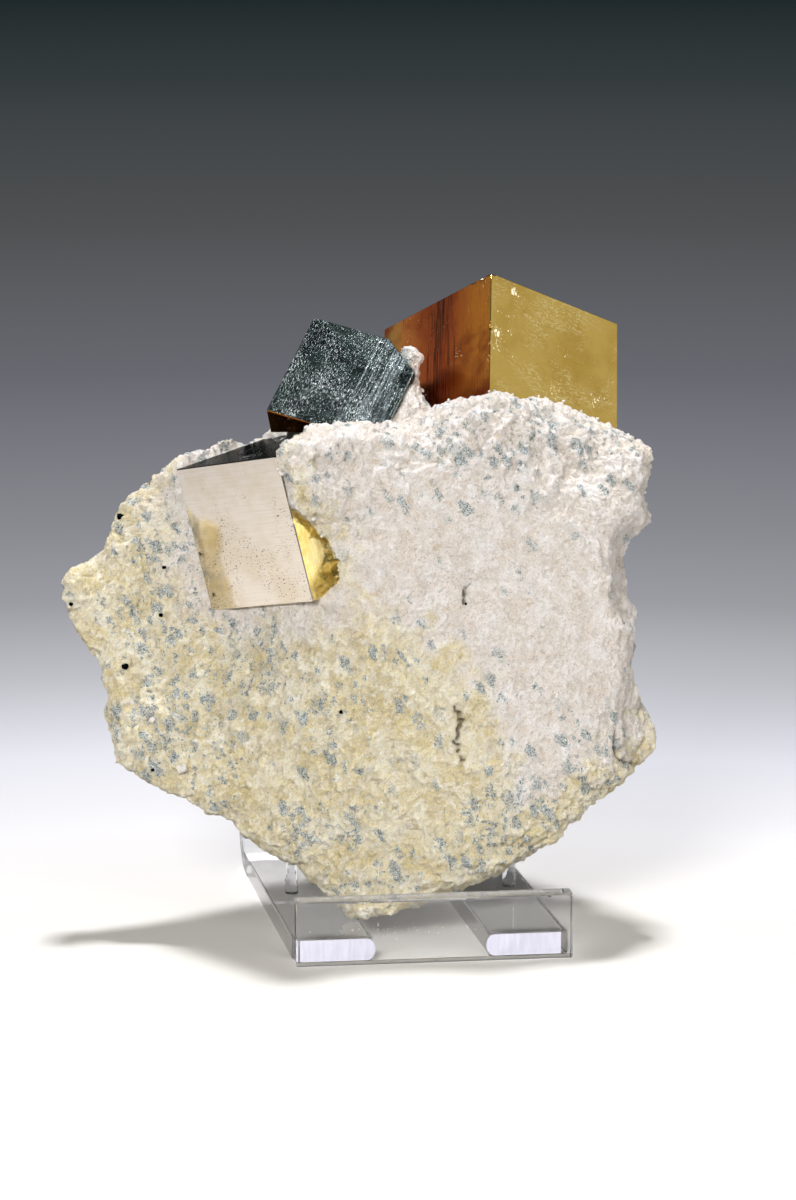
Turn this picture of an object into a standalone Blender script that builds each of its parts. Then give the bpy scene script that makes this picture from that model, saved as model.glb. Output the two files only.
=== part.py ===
# Pyrite cube cluster: three pyrite cubes in a slab of marl that leans in a clear stand.
# World frame in metres: +X right, +Y back, +Z up, the origin on the floor under the
# middle of the whole thing. Lengths below are millimetres, turned to metres by mm.
import math

import bmesh
import bpy
import numpy as np
from mathutils import Matrix, Vector, noise

mm = 0.001
gap = 0.3                        # between pieces that touch

# Where the specimen's own frame sits: x right, y back, z up along the slab
leanAngle = 12.0                 # degrees the slab leans back
slabHeight = 46.7                # height of the specimen frame's origin over the floor
plinthShift = (5.45, -9.7)       # moves all, so that the origin is under the middle

# Crystals: edge lengths, middle, and the directions of two edges in the specimen frame
largeCube = dict(size=(23.9, 23.9, 23.9), middle=(14.5, 14.0, 28.4),
                 edgeOne=(-0.628, 0.729, -0.271), edgeTwo=(0.778, 0.577, -0.250))
middleCube = dict(size=(17.0, 17.0, 13.0), middle=(-6.7, 6.1, 27.2),
                  edgeOne=(0.922, -0.264, -0.282), edgeTwo=(-0.378, -0.469, -0.798))
leftCube = dict(size=(20.5, 20.5, 20.5), middle=(-14.5, 3.7, 11.8),
                edgeOne=(0.713, -0.699, 0.061), edgeTwo=(0.235, 0.156, -0.959))
edgeBevel = 0.12
marlBetween = 1.2                # marl left between the large and the middle crystal
# Where the middle crystal's buried underside ends, just over the left crystal
buriedCut = ((-1.4, -4.6, 24.3), (-2.9, 2.1, 26.6), (-17.4, 3.0, 23.4))
brokenCorner = 3.3               # depth of the middle cube's broken corner
breakSlope = (0.60, -0.80)       # way the break faces, along the cube's first two edges

# Outline of the slab, clockwise from the left end of its top edge: x and z
outline = (
    (-31.6, 19.7), (-26.6, 21.4), (-23.5, 23.2), (-22.1, 22.2), (-16.1, 23.7), (-10.9, 24.8),
    (-1.4, 24.8), (3.8, 25.8), (7.1, 27.3), (12.9, 30.4), (15.1, 30.0), (17.1, 28.8),
    (19.2, 28.8), (25.1, 25.9), (31.8, 23.2), (32.9, 23.2), (33.6, 22.0), (35.4, 21.4),
    (36.0, 20.2), (35.7, 18.3), (34.7, 14.5), (35.0, 11.9), (34.2, 9.5), (31.6, 6.7),
    (31.6, 3.9), (32.1, 1.0), (33.9, -1.5), (33.0, -3.4), (32.3, -9.1), (33.2, -12.5),
    (36.1, -16.7), (36.5, -19.2), (35.7, -20.9), (31.8, -25.1), (28.4, -26.6), (25.8, -29.4),
    (21.0, -33.9), (13.9, -38.4), (8.3, -40.0), (-1.8, -43.1), (-3.6, -43.7), (-6.6, -41.9),
    (-11.3, -39.8), (-13.3, -37.8), (-17.9, -36.4), (-21.6, -33.5), (-23.2, -30.9),
    (-26.7, -29.8), (-29.3, -28.1), (-34.9, -26.3), (-39.9, -22.4), (-40.6, -18.1),
    (-41.7, -11.2), (-41.6, -8.8), (-44.7, -6.4), (-47.2, 0.0), (-47.3, 2.4), (-45.9, 4.5),
    (-42.8, 5.3), (-40.7, 8.7), (-38.8, 13.9), (-34.7, 16.8),
)

# How far the front stands out from the middle plane, at chosen places: x, z, distance
frontRelief = (
    (-45, 1, -2.0), (-40, -10, -0.5), (-38, 11, -3.0), (-33, 17, -3.2), (-36, 3, -2.0),
    (-29, 12, -3.6), (-27, 2, -5.2), (-25, -3, -4.0), (-18, -3, 1.8), (-12, -3, 7.2),
    (-8, -1, 9.6), (-7, 6, 10.8), (-12, 13, 13.2), (-15, 17, 13.8), (-14, 22, 15.0),
    (-9, 19, 12.0), (-4, 22, 9.6), (4, 24, 7.6), (13, 29, 8.6), (13, 24, 9.6),
    (22, 25, 4.0), (32, 20, 0.0),
    (0, 12, 9.6), (12, 14, 8.6), (24, 12, 6.0), (32, 9, 2.4), (0, 0, 9.4), (14, 0, 8.6),
    (27, -3, 5.4), (-30, -14, 0.0), (-18, -14, 3.4), (-4, -14, 7.4), (12, -16, 8.0),
    (26, -15, 5.6), (33, -19, 2.0), (-36, -22, -1.0), (-24, -26, 1.4), (-8, -28, 4.6),
    (8, -30, 5.6), (21, -28, 4.6), (-4, -40, 2.6),
)
# How far the back stands out behind the middle plane
backRelief = (
    (-45, 1, 7.0), (-40, -14, 7.5), (-36, 10, 9.5), (-27, 18, 15.5), (-20, 10, 19.5),
    (-12, 20, 22.5), (-12, 5, 23.0), (2, 24, 22.0), (14, 24, 24.0), (25, 22, 21.0),
    (33, 16, 13.0), (6, 12, 20.5), (24, 10, 17.0), (33, 0, 8.5), (0, -2, 15.0),
    (14, -4, 12.0), (-20, -10, 11.0), (-4, -18, 9.0), (20, -16, 9.5), (33, -18, 6.5),
    (-30, -22, 7.0), (-15, -27, 7.1), (-8, -33, 5.6), (16, -26, 11.1), (13, -33, 7.0), (-4, -42, 4.0),
)
rimRounding = 4.5                # width of the rounded border inside the outline
rimThinning = 0.62               # share of the thickness lost at the outline

# Broken ledges on the front: a line the step follows (x, z pairs), its height and softness
frontLedges = (
    dict(line=((30.0, 9.0), (30.2, 3.0), (30.6, -2.0)), depth=3.4, width=1.0),
    dict(line=((30.6, -14.5), (31.0, -19.5), (33.0, -24.0)), depth=3.0, width=1.0),
)
ledgeReach = 7.0                 # how far past its line a ledge keeps its depth
ledgeFade = 3.0                  # length over which its ends run out
# Creases in the front, each along its line
frontCreases = (
    dict(line=((-26.5, -2.0), (-23.0, -7.0), (-18.5, -10.5)), depth=1.2, width=1.6),
    dict(line=((-2.5, -15.2), (1.5, -16.8), (5.5, -15.8), (8.0, -18.0), (8.8, -23.0)), depth=0.7, width=0.8),
)
# Rounded lumps that stand on the slab: middle (x, y, z) and half axes
lumps = (
    dict(middle=(-23.6, 5.5, 20.6), axes=(3.2, 3.0, 2.4)),
    dict(middle=(-27.5, 6.5, 19.2), axes=(3.4, 3.4, 1.9)),
    dict(middle=(1.9, 4.6, 31.2), axes=(2.3, 3.6, 4.6)),
    dict(middle=(1.3, 3.0, 26.2), axes=(3.6, 5.0, 4.4)),
    dict(middle=(33.6, 5.0, 20.2), axes=(2.4, 3.6, 2.2)),
    dict(middle=(33.0, 6.0, 12.0), axes=(2.6, 4.0, 3.4)),
    dict(middle=(-44.6, 4.0, 1.6), axes=(2.8, 4.0, 3.4)),
    dict(middle=(20.0, 19.0, 12.0), axes=(9.0, 6.0, 7.0)),
    dict(middle=(-6.0, 14.5, 22.5), axes=(9.0, 6.5, 6.5)),
    dict(middle=(-16.0, 15.0, 19.0), axes=(7.0, 5.0, 6.0)),
    dict(middle=(-5.0, 1.0, -42.0), axes=(2.6, 2.6, 1.7)),
)
# The hollow beside the left cube, as seen from the front: x and z, and how deep it goes
hollowOutline = (
    (-15.2, 13.4), (-13.4, 11.8), (-10.0, 8.4), (-8.4, 5.9), (-7.6, 3.6), (-8.0, 2.1),
    (-9.6, 0.8), (-12.6, -0.2), (-15.0, 2.0), (-17.0, 9.0),
)
hollowFloor = -2.5               # y of its deepest part
hollowMouth = -25.0              # y well before the front
# The space before and above the left cube, as far out from its front, its top and its ends
openFront = 7.0
openTop = 9.0
openBehind = 14.0                # how far back over the top face it reaches

# Clear stand, in its own frame: x along the lip, y back from it
standTurn = 6.5                  # degrees it is turned on the floor
armSkew = 0.088                  # the arms run askew: sideways for each mm back
standFront = (5.1, -18.5)        # middle of the lip's front foot, before the plinth shift
standWidth = 38.0
sheet = 3.2                      # thickness of its strips
lipHeight = 9.1
armWidth = 11.0
armLength = 50.0                 # from the lip's front to the back of the bent end
armRise = 12.0                   # height of the bent end
bendRadius = 3.0                 # inside of the bend
sheetBevel = 0.25
rodRadius = 0.95
rodInset = 3.4                   # from the arm's outer side to the rod's axis
rodDepth = 23.5                  # from the lip's front to the rod's axis
rodHeight = 15.0

# Mesh sizes
coarseVoxel = 1.3
shapeVoxel = 0.9
matrixTriangles = 7400
slabHalf = 8.0                   # half thickness of the flat slab before it is shaped
roughScale = 0.085               # broad swellings: how many to a millimetre, and their height
roughHeight = 1.0
chipScale = 0.26                 # chips: how many to a millimetre
ridgeHeight = 0.21               # of the sharp ridges between them
ridgeMiddle = 1.2                # the ridge pattern's mean value, left out
stepHeight = 0.17                # of the steps from one chip to the next


def clearScene():
    for item in list(bpy.data.objects):
        bpy.data.objects.remove(item, do_unlink=True)


def surface(name, colour, roughness, metallic=0.0, transmission=0.0):
    material = bpy.data.materials.new(name)
    material.use_nodes = True
    shader = material.node_tree.nodes["Principled BSDF"]
    shader.inputs["Base Color"].default_value = (*colour, 1.0)
    shader.inputs["Roughness"].default_value = roughness
    shader.inputs["Metallic"].default_value = metallic
    shader.inputs["Transmission Weight"].default_value = transmission
    return material


def addObject(name, mesh, parent=None, material=None):
    item = bpy.data.objects.new(name, mesh)
    bpy.context.scene.collection.objects.link(item)
    item.parent = parent
    if material:
        mesh.materials.append(material)
    return item


def addEmpty(name, location, turn, parent=None):
    item = addObject(name, None, parent)
    item.location = [mm * value for value in location]
    item.rotation_euler = turn
    return item


def hideCutter(item):
    item.hide_render = True
    item.display_type = "WIRE"


def meshFrom(name, bm):
    bmesh.ops.recalc_face_normals(bm, faces=bm.faces)
    mesh = bpy.data.meshes.new(name)
    bm.to_mesh(mesh)
    bm.free()
    return mesh


def evaluated(item):
    bpy.context.view_layer.update()
    graph = bpy.context.evaluated_depsgraph_get()
    return bpy.data.meshes.new_from_object(item.evaluated_get(graph), depsgraph=graph).copy()


def prism(name, points, low, high):
    # Closed outline in x and z, drawn out along y from low to high
    bm = bmesh.new()
    corners = [bm.verts.new((mm * x, mm * low, mm * z)) for x, z in points]
    face = bm.faces.new(corners)
    moved = bmesh.ops.extrude_face_region(bm, geom=[face])
    verts = [v for v in moved["geom"] if isinstance(v, bmesh.types.BMVert)]
    bmesh.ops.translate(bm, verts=verts, vec=(0.0, mm * (high - low), 0.0))
    return meshFrom(name, bm)


def ellipsoid(name, middle, axes):
    bm = bmesh.new()
    bmesh.ops.create_icosphere(bm, subdivisions=3, radius=1.0)
    for vert in bm.verts:
        vert.co = Vector(mm * (middle[i] + axes[i] * vert.co[i]) for i in range(3))
    return meshFrom(name, bm)


def smooth(value):
    value = np.clip(value, 0.0, 1.0)
    return value * value * (3.0 - 2.0 * value)


def segmentDistance(x, z, start, end):
    # Distance of each point from one straight segment, and the signed side it is on
    dx = end[0] - start[0]
    dz = end[1] - start[1]
    along = np.clip(((x - start[0]) * dx + (z - start[1]) * dz) / (dx * dx + dz * dz), 0.0, 1.0)
    away = np.hypot(x - start[0] - along * dx, z - start[1] - along * dz)
    side = (x - start[0]) * dz - (z - start[1]) * dx
    return away, side


def outlineDistance(x, z):
    ends = outline[1:] + outline[:1]
    return np.min([segmentDistance(x, z, a, b)[0] for a, b in zip(outline, ends)], axis=0)


def thinPlate(places, x, z):
    # Smooth sheet through the chosen places, as a bent thin plate would lie
    points = np.array(places, float)
    count = len(points)

    def kernel(distance):
        return distance ** 2 * np.log(distance + 1e-6)

    between = np.hypot(points[:, None, 0] - points[None, :, 0],
                       points[:, None, 1] - points[None, :, 1])
    flat = np.column_stack((np.ones(count), points[:, :2]))
    system = np.block([[kernel(between), flat], [flat.T, np.zeros((3, 3))]])
    weights = np.linalg.solve(system, np.concatenate((points[:, 2], np.zeros(3))))
    away = np.hypot(x[:, None] - points[None, :, 0], z[:, None] - points[None, :, 1])
    return kernel(away) @ weights[:count] + weights[count] + weights[count + 1] * x + weights[count + 2] * z


def ledgeDrop(x, z, ledge):
    # Full depth past the line, on the side away from the slab's middle
    away = []
    for start, end in zip(ledge["line"], ledge["line"][1:]):
        distance, side = segmentDistance(x, z, start, end)
        away.append(np.where(side < 0.0, distance, -distance))
    past = np.array(away)
    nearest = np.take_along_axis(past, np.abs(past).argmin(axis=0)[None, :], axis=0)[0]
    lowEnd = min(z for _, z in ledge["line"])
    highEnd = max(z for _, z in ledge["line"])
    inReach = smooth((z - lowEnd) / ledgeFade + 0.67) * smooth((highEnd - z) / ledgeFade + 0.67)
    return ledge["depth"] * smooth(nearest / ledge["width"] + 0.5) * inReach * (nearest < ledgeReach)


def creaseDrop(x, z, crease):
    away = np.min([segmentDistance(x, z, a, b)[0] for a, b in zip(crease["line"], crease["line"][1:])],
                  axis=0)
    return crease["depth"] * np.exp(-(away / crease["width"]) ** 2)


def shapeSlab(mesh):
    # Bends the flat slab to its front and back relief and rounds its rim
    count = len(mesh.vertices)
    places = np.empty(count * 3)
    mesh.vertices.foreach_get("co", places)
    places = places.reshape(count, 3) / mm
    x = places[:, 0].copy()
    z = places[:, 2].copy()
    share = np.clip(-places[:, 1] / slabHalf, -1.0, 1.0)
    front = thinPlate(frontRelief, x, z)
    for ledge in frontLedges:
        front -= ledgeDrop(x, z, ledge)
    for crease in frontCreases:
        front -= creaseDrop(x, z, crease)
    back = -thinPlate(backRelief, x, z)
    inward = 1.0 - np.clip(outlineDistance(x, z) / rimRounding, 0.0, 1.0)
    keep = 1.0 - rimThinning * (1.0 - np.sqrt(1.0 - inward ** 2))
    centre = 0.5 * (front + back)
    places[:, 1] = -(centre + share * 0.5 * (front - back) * keep)
    mesh.vertices.foreach_set("co", (places * mm).ravel())


def roughen(mesh):
    # Broad swellings and small chips, along each point's normal
    places = [vert.co.copy() for vert in mesh.vertices]
    normals = [vert.normal.copy() for vert in mesh.vertices]
    for vert, place, normal in zip(mesh.vertices, places, normals):
        spot = place / mm
        broad = noise.fractal(spot * roughScale, 1.0, 2.1, 3)
        step = noise.cell(spot * chipScale) - 0.5
        ridge = noise.ridged_multi_fractal(spot * chipScale, 1.0, 2.0, 2, 1.0, 2.0) - ridgeMiddle
        vert.co = place + normal * mm * (roughHeight * broad + ridgeHeight * ridge + stepHeight * step)


def remeshed(mesh, voxel, name):
    item = addObject(name, mesh)
    modifier = item.modifiers.new("even", "REMESH")
    modifier.mode = "VOXEL"
    modifier.voxel_size = mm * voxel
    result = evaluated(item)
    bpy.data.objects.remove(item, do_unlink=True)
    return result


def joined(meshes, name):
    bm = bmesh.new()
    for mesh in meshes:
        bm.from_mesh(mesh)
    result = bpy.data.meshes.new(name)
    bm.to_mesh(result)
    bm.free()
    return result


def crystalTurn(crystal):
    one = Vector(crystal["edgeOne"]).normalized()
    two = Vector(crystal["edgeTwo"])
    two = (two - one * two.dot(one)).normalized()
    return Matrix((one, two, one.cross(two))).transposed()


def cutFlat(bm, point, normal):
    # Removes what lies past the plane and closes the cut
    geometry = bm.verts[:] + bm.edges[:] + bm.faces[:]
    cut = bmesh.ops.bisect_plane(bm, geom=geometry, plane_co=point, plane_no=normal, clear_outer=True)
    rim = [edge for edge in cut["geom_cut"] if isinstance(edge, bmesh.types.BMEdge)]
    if rim:
        bmesh.ops.edgeloop_fill(bm, edges=rim)


def crystalMesh(name, crystal, cuts=(), grow=0.0, bevel=0.0):
    # Box about the crystal's middle, cut by planes given in the specimen frame
    bm = bmesh.new()
    bmesh.ops.create_cube(bm, size=1.0)
    for vert in bm.verts:
        vert.co = Vector(mm * (crystal["size"][i] + 2.0 * grow) * vert.co[i] for i in range(3))
    turn = crystalTurn(crystal)
    for point, normal in cuts:
        localPoint = turn.inverted() @ (Vector(point) - Vector(crystal["middle"])) * mm
        localNormal = turn.inverted() @ Vector(normal)
        cutFlat(bm, localPoint + localNormal * mm * grow, localNormal)
    if bevel:
        bmesh.ops.bevel(bm, geom=bm.edges[:], offset=mm * bevel, segments=1, affect="EDGES",
                        clamp_overlap=True)
    return meshFrom(name, bm)


def placeCrystal(item, crystal):
    item.location = Vector(crystal["middle"]) * mm
    item.rotation_euler = crystalTurn(crystal).to_euler()


def facePlane(crystal, axis, sign, away):
    # A plane parallel to one face, that far outside it, facing the crystal
    turn = crystalTurn(crystal)
    normal = turn.col[axis] * sign
    reach = crystal["size"][axis] / 2.0 + away
    return Vector(crystal["middle"]) + normal * reach, -normal


def middleCuts():
    # Its neighbours end this crystal where it is buried, and one corner is broken off
    turn = crystalTurn(middleCube)
    half = [value / 2.0 for value in middleCube["size"]]
    corner = Vector(middleCube["middle"]) + turn @ Vector((half[0], -half[1], 0.0))
    breakNormal = (turn.col[0] * breakSlope[0] + turn.col[1] * breakSlope[1]).normalized()
    one, two, three = (Vector(point) for point in buriedCut)
    downward = (two - one).cross(three - one).normalized()
    if downward.z > 0.0:
        downward = -downward
    return (facePlane(largeCube, 1, -1, marlBetween), (one, downward),
            (corner - breakNormal * brokenCorner, breakNormal))


def buildCrystals(specimen):
    plain = dict(pyrite_cube_large=(largeCube, (), (0.62, 0.50, 0.25)),
                 pyrite_cube_middle=(middleCube, middleCuts(), (0.30, 0.33, 0.31)),
                 pyrite_cube_left=(leftCube, (), (0.72, 0.65, 0.52)))
    cutters = []
    for name, (crystal, cuts, colour) in plain.items():
        material = surface(name, colour, 0.25, metallic=1.0)
        item = addObject(name, crystalMesh(name, crystal, cuts, 0.0, edgeBevel), specimen, material)
        placeCrystal(item, crystal)
        cutter = addObject(name + "_room", crystalMesh(name + "_room", crystal, cuts, gap), specimen)
        placeCrystal(cutter, crystal)
        hideCutter(cutter)
        cutters.append(cutter)
    return cutters


def openSpace(specimen):
    # Keeps the front and the top of the left cube free of marl
    edge = leftCube["size"][0]
    turn = crystalTurn(leftCube)
    low = Vector((-edge / 2.0 - gap, -edge / 2.0 - openTop, -edge / 2.0 - openFront))
    high = Vector((edge / 2.0 + gap, edge / 2.0 + gap, openBehind - edge / 2.0))
    room = dict(size=tuple(high - low), middle=tuple(Vector(leftCube["middle"]) + turn @ (low + high) / 2.0),
                edgeOne=leftCube["edgeOne"], edgeTwo=leftCube["edgeTwo"])
    item = addObject("open_room", crystalMesh("open_room", room), specimen)
    placeCrystal(item, room)
    hideCutter(item)
    return item


def buildMatrix(specimen, cutters):
    slab = remeshed(prism("slab", outline, -slabHalf, slabHalf), coarseVoxel, "slab")
    shapeSlab(slab)
    pieces = [slab] + [ellipsoid("lump", lump["middle"], lump["axes"]) for lump in lumps]
    stone = remeshed(joined(pieces, "stone"), shapeVoxel, "stone")
    roughen(stone)
    item = addObject("matrix", stone, specimen, surface("marl", (0.76, 0.70, 0.58), 0.9))
    thin = item.modifiers.new("fewer faces", "DECIMATE")
    thin.ratio = min(1.0, matrixTriangles / sum(len(face.vertices) - 2 for face in stone.polygons))
    thin.use_collapse_triangulate = True
    hollow = addObject("hollow_room", prism("hollow_room", hollowOutline, hollowMouth, hollowFloor), specimen)
    hideCutter(hollow)
    for cutter in cutters + [hollow, openSpace(specimen)]:
        cut = item.modifiers.new(cutter.name, "BOOLEAN")
        cut.operation = "DIFFERENCE"
        cut.solver = "EXACT"
        cut.object = cutter
    return item


def strip(name, profile, width):
    # Side profile in y and z, drawn out along x from 0 to width
    bm = bmesh.new()
    face = bm.faces.new([bm.verts.new((0.0, mm * y, mm * z)) for y, z in profile])
    moved = bmesh.ops.extrude_face_region(bm, geom=[face])
    verts = [v for v in moved["geom"] if isinstance(v, bmesh.types.BMVert)]
    bmesh.ops.translate(bm, verts=verts, vec=(mm * width, 0.0, 0.0))
    return meshFrom(name, bm)


def arc(centre, radius, start, end, steps):
    return [(centre[0] + radius * math.cos(math.radians(start + (end - start) * i / steps)),
             centre[1] + radius * math.sin(math.radians(start + (end - start) * i / steps)))
            for i in range(steps + 1)]


def armProfile():
    # Flat strip whose rear end bends straight up
    front = sheet + gap
    bend = (armLength - sheet - bendRadius, sheet + bendRadius)
    outer = arc(bend, bendRadius + sheet, -90.0, 0.0, 6)
    inner = arc(bend, bendRadius, 0.0, -90.0, 6)
    return [(front, 0.0)] + outer + [(armLength, armRise), (armLength - sheet, armRise)] + inner + [(front, sheet)]


def bevelled(item, width):
    modifier = item.modifiers.new("worn edges", "BEVEL")
    modifier.width = mm * width
    modifier.segments = 2
    modifier.limit_method = "ANGLE"
    modifier.angle_limit = math.radians(40.0)


def buildStand(stand):
    clear = surface("clear_acrylic", (0.93, 0.95, 0.96), 0.03, transmission=1.0)
    lipProfile = ((0.0, 0.0), (sheet, 0.0), (sheet, lipHeight), (0.0, lipHeight))
    lip = addObject("stand_lip", strip("stand_lip", lipProfile, standWidth), stand, clear)
    lip.location.x = -mm * standWidth / 2.0
    bevelled(lip, sheetBevel)
    sides = dict(left=-1.0, right=1.0)
    for side, sign in sides.items():
        mesh = strip("arm", armProfile(), armWidth)
        for vert in mesh.vertices:
            vert.co.x -= armSkew * vert.co.y
        arm = addObject("stand_arm_" + side, mesh, stand, clear)
        arm.location.x = mm * (sign * (standWidth - armWidth) / 2.0 - armWidth / 2.0)
        bevelled(arm, sheetBevel)
        bm = bmesh.new()
        bmesh.ops.create_cone(bm, cap_ends=True, segments=24, radius1=mm * rodRadius,
                              radius2=mm * rodRadius, depth=mm * rodHeight)
        rod = addObject("stand_rod_" + side, meshFrom("rod", bm), stand, clear)
        rod.location = (mm * (sign * (standWidth / 2.0 - rodInset) - armSkew * rodDepth), mm * rodDepth,
                        mm * (sheet + gap + rodHeight / 2.0))


def build():
    clearScene()
    noise.seed_set(11)
    specimenPlace = (plinthShift[0], plinthShift[1], slabHeight)
    specimen = addEmpty("specimen", specimenPlace, (-math.radians(leanAngle), 0.0, 0.0))
    standPlace = (standFront[0] + plinthShift[0], standFront[1] + plinthShift[1], 0.0)
    stand = addEmpty("stand", standPlace, (0.0, 0.0, math.radians(standTurn)))
    cutters = buildCrystals(specimen)
    buildMatrix(specimen, cutters)
    buildStand(stand)


build()
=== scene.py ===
# Pyrite cubes grown in a slab of marl, which leans in a small clear stand.
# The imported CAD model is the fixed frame. Places are metres, and mm turns millimetres to them.
import math

import bmesh
import bpy
import numpy as np
from mathutils import Matrix, Vector, noise
from mathutils.bvhtree import BVHTree


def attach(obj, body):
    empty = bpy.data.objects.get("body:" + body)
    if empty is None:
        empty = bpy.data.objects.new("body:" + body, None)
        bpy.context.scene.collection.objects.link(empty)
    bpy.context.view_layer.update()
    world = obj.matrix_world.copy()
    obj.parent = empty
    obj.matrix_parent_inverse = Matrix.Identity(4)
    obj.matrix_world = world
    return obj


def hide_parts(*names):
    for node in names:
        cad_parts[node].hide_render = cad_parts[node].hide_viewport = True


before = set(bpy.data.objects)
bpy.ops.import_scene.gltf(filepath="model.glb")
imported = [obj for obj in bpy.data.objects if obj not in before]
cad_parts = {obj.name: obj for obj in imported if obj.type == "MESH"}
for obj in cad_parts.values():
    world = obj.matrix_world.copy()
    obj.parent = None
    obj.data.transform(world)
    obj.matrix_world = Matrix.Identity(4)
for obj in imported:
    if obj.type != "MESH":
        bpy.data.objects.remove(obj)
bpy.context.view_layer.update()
print("frame loaded")

mm = 0.001

# The specimen's own frame: x right, y back, z up along the slab, which leans back
leanAngle = math.radians(12.0)
specimenPlace = Vector((5.45, -9.7, 46.7)) * mm
specimenFrame = Matrix.Translation(specimenPlace) @ Matrix.Rotation(-leanAngle, 4, "X")

# Camera: metres from the slab's middle, lens in mm, and the pixels of the whole photo: how many make
# a slope of one, and which is the middle one
cameraLook = dict(distance=0.463, lens=100.0, sensor=36.0, slopePixels=3333.3, middlePixel=(398.0, 600.0))

# Crystals: edge lengths in mm, middle, two edge directions in the specimen's frame, and chips:
# where on the crystal, as shares of its half edges, and how large in mm
crystals = dict(
    pyrite_cube_large=dict(size=(23.9, 23.9, 23.9), middle=(14.5, 14.0, 28.4),
                           edgeOne=(-0.628, 0.729, -0.271), edgeTwo=(0.778, 0.577, -0.250),
                           chips=(((-1, -1, -1), 0.7), ((-0.86, -1, -1), 0.7), ((-0.7, -1, -1), 0.5),
                                  ((-1, -1, -0.3), 0.4))),
    pyrite_cube_middle=dict(size=(17.0, 17.0, 13.0), middle=(-6.7, 6.1, 27.2),
                            edgeOne=(0.922, -0.264, -0.282), edgeTwo=(-0.378, -0.469, -0.798),
                            chips=(((-1, -1, -1), 0.5), ((-0.8, -1, -1), 0.4), ((-1, -0.1, -1), 0.5),
                                   ((-1, 0.45, -1), 0.4))),
    pyrite_cube_left=dict(size=(20.5, 20.5, 20.5), middle=(-14.5, 3.7, 11.8),
                          edgeOne=(0.713, -0.699, 0.061), edgeTwo=(0.235, 0.156, -0.959)),
)


def linear(hexColour):
    # sRGB hex to the linear colour that a shader takes
    values = [int(hexColour[i:i + 2], 16) / 255.0 for i in (0, 2, 4)]
    return tuple(v / 12.92 if v <= 0.04045 else ((v + 0.055) / 1.055) ** 2.4 for v in values) + (1.0,)


def addNode(tree, kind, inputs=None, stops=None, **settings):
    # A node with its settings, its input values or links, and a ramp's stops as places and hex colours
    node = tree.nodes.new(kind)
    for name, value in settings.items():
        setattr(node, name, value)
    for name, value in (inputs or {}).items():
        if isinstance(value, bpy.types.NodeSocket):
            tree.links.new(value, node.inputs[name])
        else:
            node.inputs[name].default_value = value
    if stops:
        elements = node.color_ramp.elements
        while len(elements) < len(stops):
            elements.new(0.5)
        for element, (place, colour) in zip(elements, stops):
            element.position = place
            element.color = linear(colour)
    return node


def newMaterial(name):
    material = bpy.data.materials.new(name)
    material.use_nodes = True
    tree = material.node_tree
    return material, tree, tree.nodes["Principled BSDF"]


def cloud(tree, place, scale, detail=5.0, roughness=0.55, stretch=(1.0, 1.0, 1.0), distortion=0.0):
    # Noise with so many patterns to a unit of the place, which can be stretched along its axes
    moved = addNode(tree, "ShaderNodeMapping", {"Vector": place, "Scale": stretch})
    return addNode(tree, "ShaderNodeTexNoise", {
        "Vector": moved.outputs[0], "Scale": scale, "Detail": detail, "Roughness": roughness,
        "Distortion": distortion}).outputs["Fac"]


def layColour(tree, ground, colour, value, low=0.0, high=1.0, strength=1.0, within=None,
              curve="SMOOTHSTEP", mix="MIX"):
    # A colour laid over the ground where a value goes from low to high, and only within a share
    share = addNode(tree, "ShaderNodeMapRange", {"Value": value, "From Min": low, "From Max": high,
                                                 "To Max": strength}, interpolation_type=curve)
    if within is not None:
        share = addNode(tree, "ShaderNodeMath", {0: share.outputs[0], 1: within}, operation="MULTIPLY")
    laid = addNode(tree, "ShaderNodeMix", {0: share.outputs[0], 6: ground, 7: linear(colour)},
                   data_type="RGBA", blend_type=mix)
    return laid.outputs[2]


def layClouds(tree, place, ground, layers):
    for colour, look, low, high, strength in layers:
        ground = layColour(tree, ground, colour, cloud(tree, place, **look), low, high, strength)
    return ground


def addPiece(name, mesh, materials, nodes=()):
    item = bpy.data.objects.new(name, mesh)
    bpy.context.scene.collection.objects.link(item)
    for material in materials:
        mesh.materials.append(material)
    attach(item, "root")
    if nodes:
        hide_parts(*nodes)
    return item


# Camera as in the photo: level with the slab's middle, looking 12 degrees down
def buildCamera():
    lens = bpy.data.cameras.new("camera")
    lens.lens = cameraLook["lens"]
    lens.sensor_width = cameraLook["sensor"]
    camera = bpy.data.objects.new("camera", lens)
    bpy.context.scene.collection.objects.link(camera)
    back = Matrix.Translation((0.0, -cameraLook["distance"], 0.0))
    camera.matrix_world = specimenFrame @ back @ Matrix.Rotation(math.pi / 2.0, 4, "X")
    bpy.context.scene.camera = camera


buildCamera()
bpy.context.scene.view_settings.view_transform = "Standard"
print("camera set")


# Stage: a pale table under soft light, which runs out to grey behind as painted light falloff: its paint
# darkens and it glows grey farther off
stageLook = dict(
    radius=5.0,                          # of the round table, in metres
    sides=96,
    fadeFrom=(0.0, -0.15, 0.0),          # middle of the pale part of the table
    fadeStart=0.15,                      # metres from there
    fadeEnd=4.5,
    # Shares of the way from fadeStart to fadeEnd, on a logarithmic scale, and the colour at each
    # paint darkens and glow rises with distance: painted light falloff, not the board's own colour
    paint=((0.0, "AFACA7"), (0.07, "A8A6A3"), (0.135, "7C7C7C"), (0.2, "454545"), (0.26, "000000")),
    glow=((0.0, "000000"), (0.07, "5D5D69"), (0.135, "A5A5AF"), (0.2, "A6A6AD"), (0.26, "9999A0"),
          (0.32, "86868D"), (0.45, "63656C"), (0.6, "4B4D4E"), (0.81, "31383A"), (1.0, "192426")),
    roughness=0.6,
    specular=0.1,
)


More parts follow.
